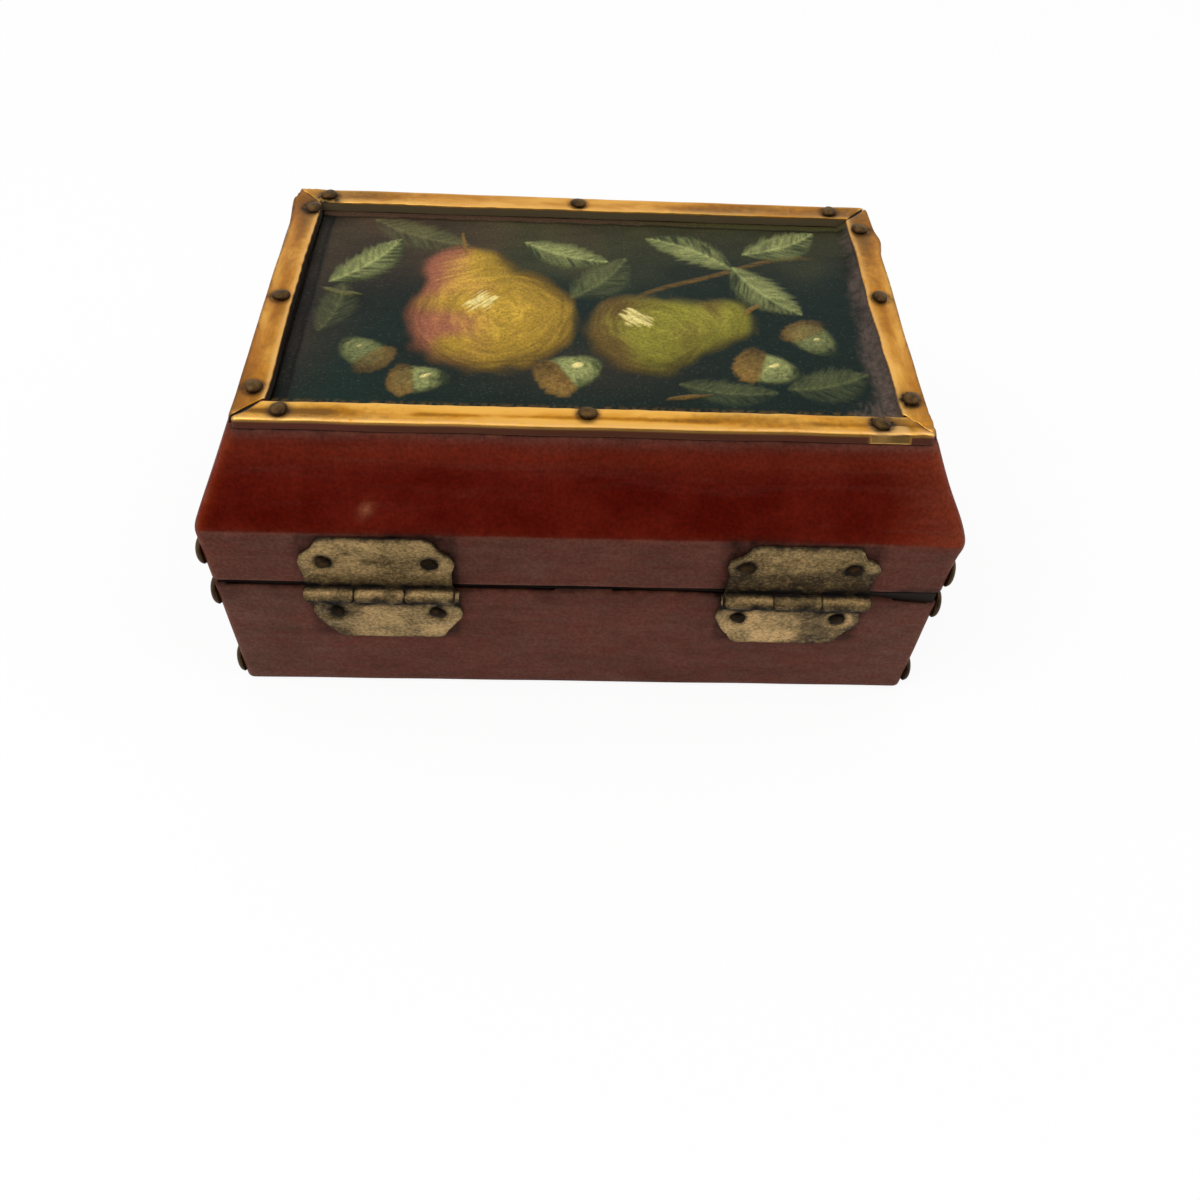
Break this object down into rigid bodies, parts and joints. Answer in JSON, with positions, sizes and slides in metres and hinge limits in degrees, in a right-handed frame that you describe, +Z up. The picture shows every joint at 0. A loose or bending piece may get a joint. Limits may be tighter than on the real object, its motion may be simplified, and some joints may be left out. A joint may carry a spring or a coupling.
{
  "type": "trinket box",
  "caption": "Small leather-covered wooden box with a sloped, hinged lid, a painted top panel in a brass frame, and a swinging hook catch.",
  "frame": {"origin": "middle of the underside, on the surface that the box stands on", "axes": "+Z up; +Y towards the hinges at the back, so the hook faces -Y; +X along the hinge line"},
  "size_m": [0.1556, 0.1068, 0.0708],
  "materials": {
    "wood": "dark stained softwood boards, matte",
    "leather": "smooth red-brown leather, waxed, satin",
    "lining": "wine-red velvet pasted on card",
    "felt": "dark green wool felt",
    "strip_brass": "thin sheet brass, tarnished in patches",
    "old_brass": "pressed brass, grimy olive patina",
    "nail": "dark browned heads, worn on top",
    "painted_panel": "painted board under a glossy varnish"
  },
  "bodies": {
    "base": {"base_front_board": "wood", "base_rear_board": "wood", "base_left_board": "wood", "base_right_board": "wood", "base_floor_board": "wood", "base_leather_cover": "leather", "underside_felt": "felt", "base_lining_floor": "lining", "base_lining_front": "lining", "base_lining_rear": "lining", "base_lining_left": "lining", "base_lining_right": "lining", "base_side_tacks": "nail", "left_hinge_lower_leaf": "old_brass", "right_hinge_lower_leaf": "old_brass", "left_hinge_pin": "old_brass", "right_hinge_pin": "old_brass", "lower_hinge_nails": "nail", "hook_plate": "old_brass", "hook_plate_nails": "old_brass", "hook_pivot": "old_brass"},
    "lid": {"lid_band_front_board": "wood", "lid_band_rear_board": "wood", "lid_band_left_board": "wood", "lid_band_right_board": "wood", "lid_slope_front_board": "wood", "lid_slope_rear_board": "wood", "lid_slope_left_board": "wood", "lid_slope_right_board": "wood", "lid_top_board": "wood", "lid_leather_cover": "leather", "lid_lining_top": "lining", "lid_lining_front": "lining", "lid_lining_rear": "lining", "lid_lining_left": "lining", "lid_lining_right": "lining", "lid_side_tacks": "nail", "left_hinge_upper_leaf": "old_brass", "right_hinge_upper_leaf": "old_brass", "upper_hinge_nails": "nail", "painted_panel": "painted_panel", "frame_fillet_front": "wood", "frame_fillet_rear": "wood", "frame_fillet_left": "wood", "frame_fillet_right": "wood", "brass_strip_front": "strip_brass", "brass_strip_rear": "strip_brass", "brass_strip_left": "strip_brass", "brass_strip_right": "strip_brass", "frame_nails": "nail", "peg_plate": "old_brass", "peg_plate_nails": "old_brass", "peg": "old_brass"},
    "hook": {"latch_hook": "old_brass"}
  },
  "joints": [
    {"name": "lid_hinge", "type": "hinge", "parent": "base", "child": "lid", "pos_m": [0, 0.05185, 0.0334], "axis": [-1, 0, 0], "range_deg": [0, 165]},
    {"name": "hook_swing", "type": "hinge", "parent": "base", "child": "hook", "pos_m": [0, -0.05155, 0.0275], "axis": [0, -1, 0], "range_deg": [0, 180]}
  ]
}
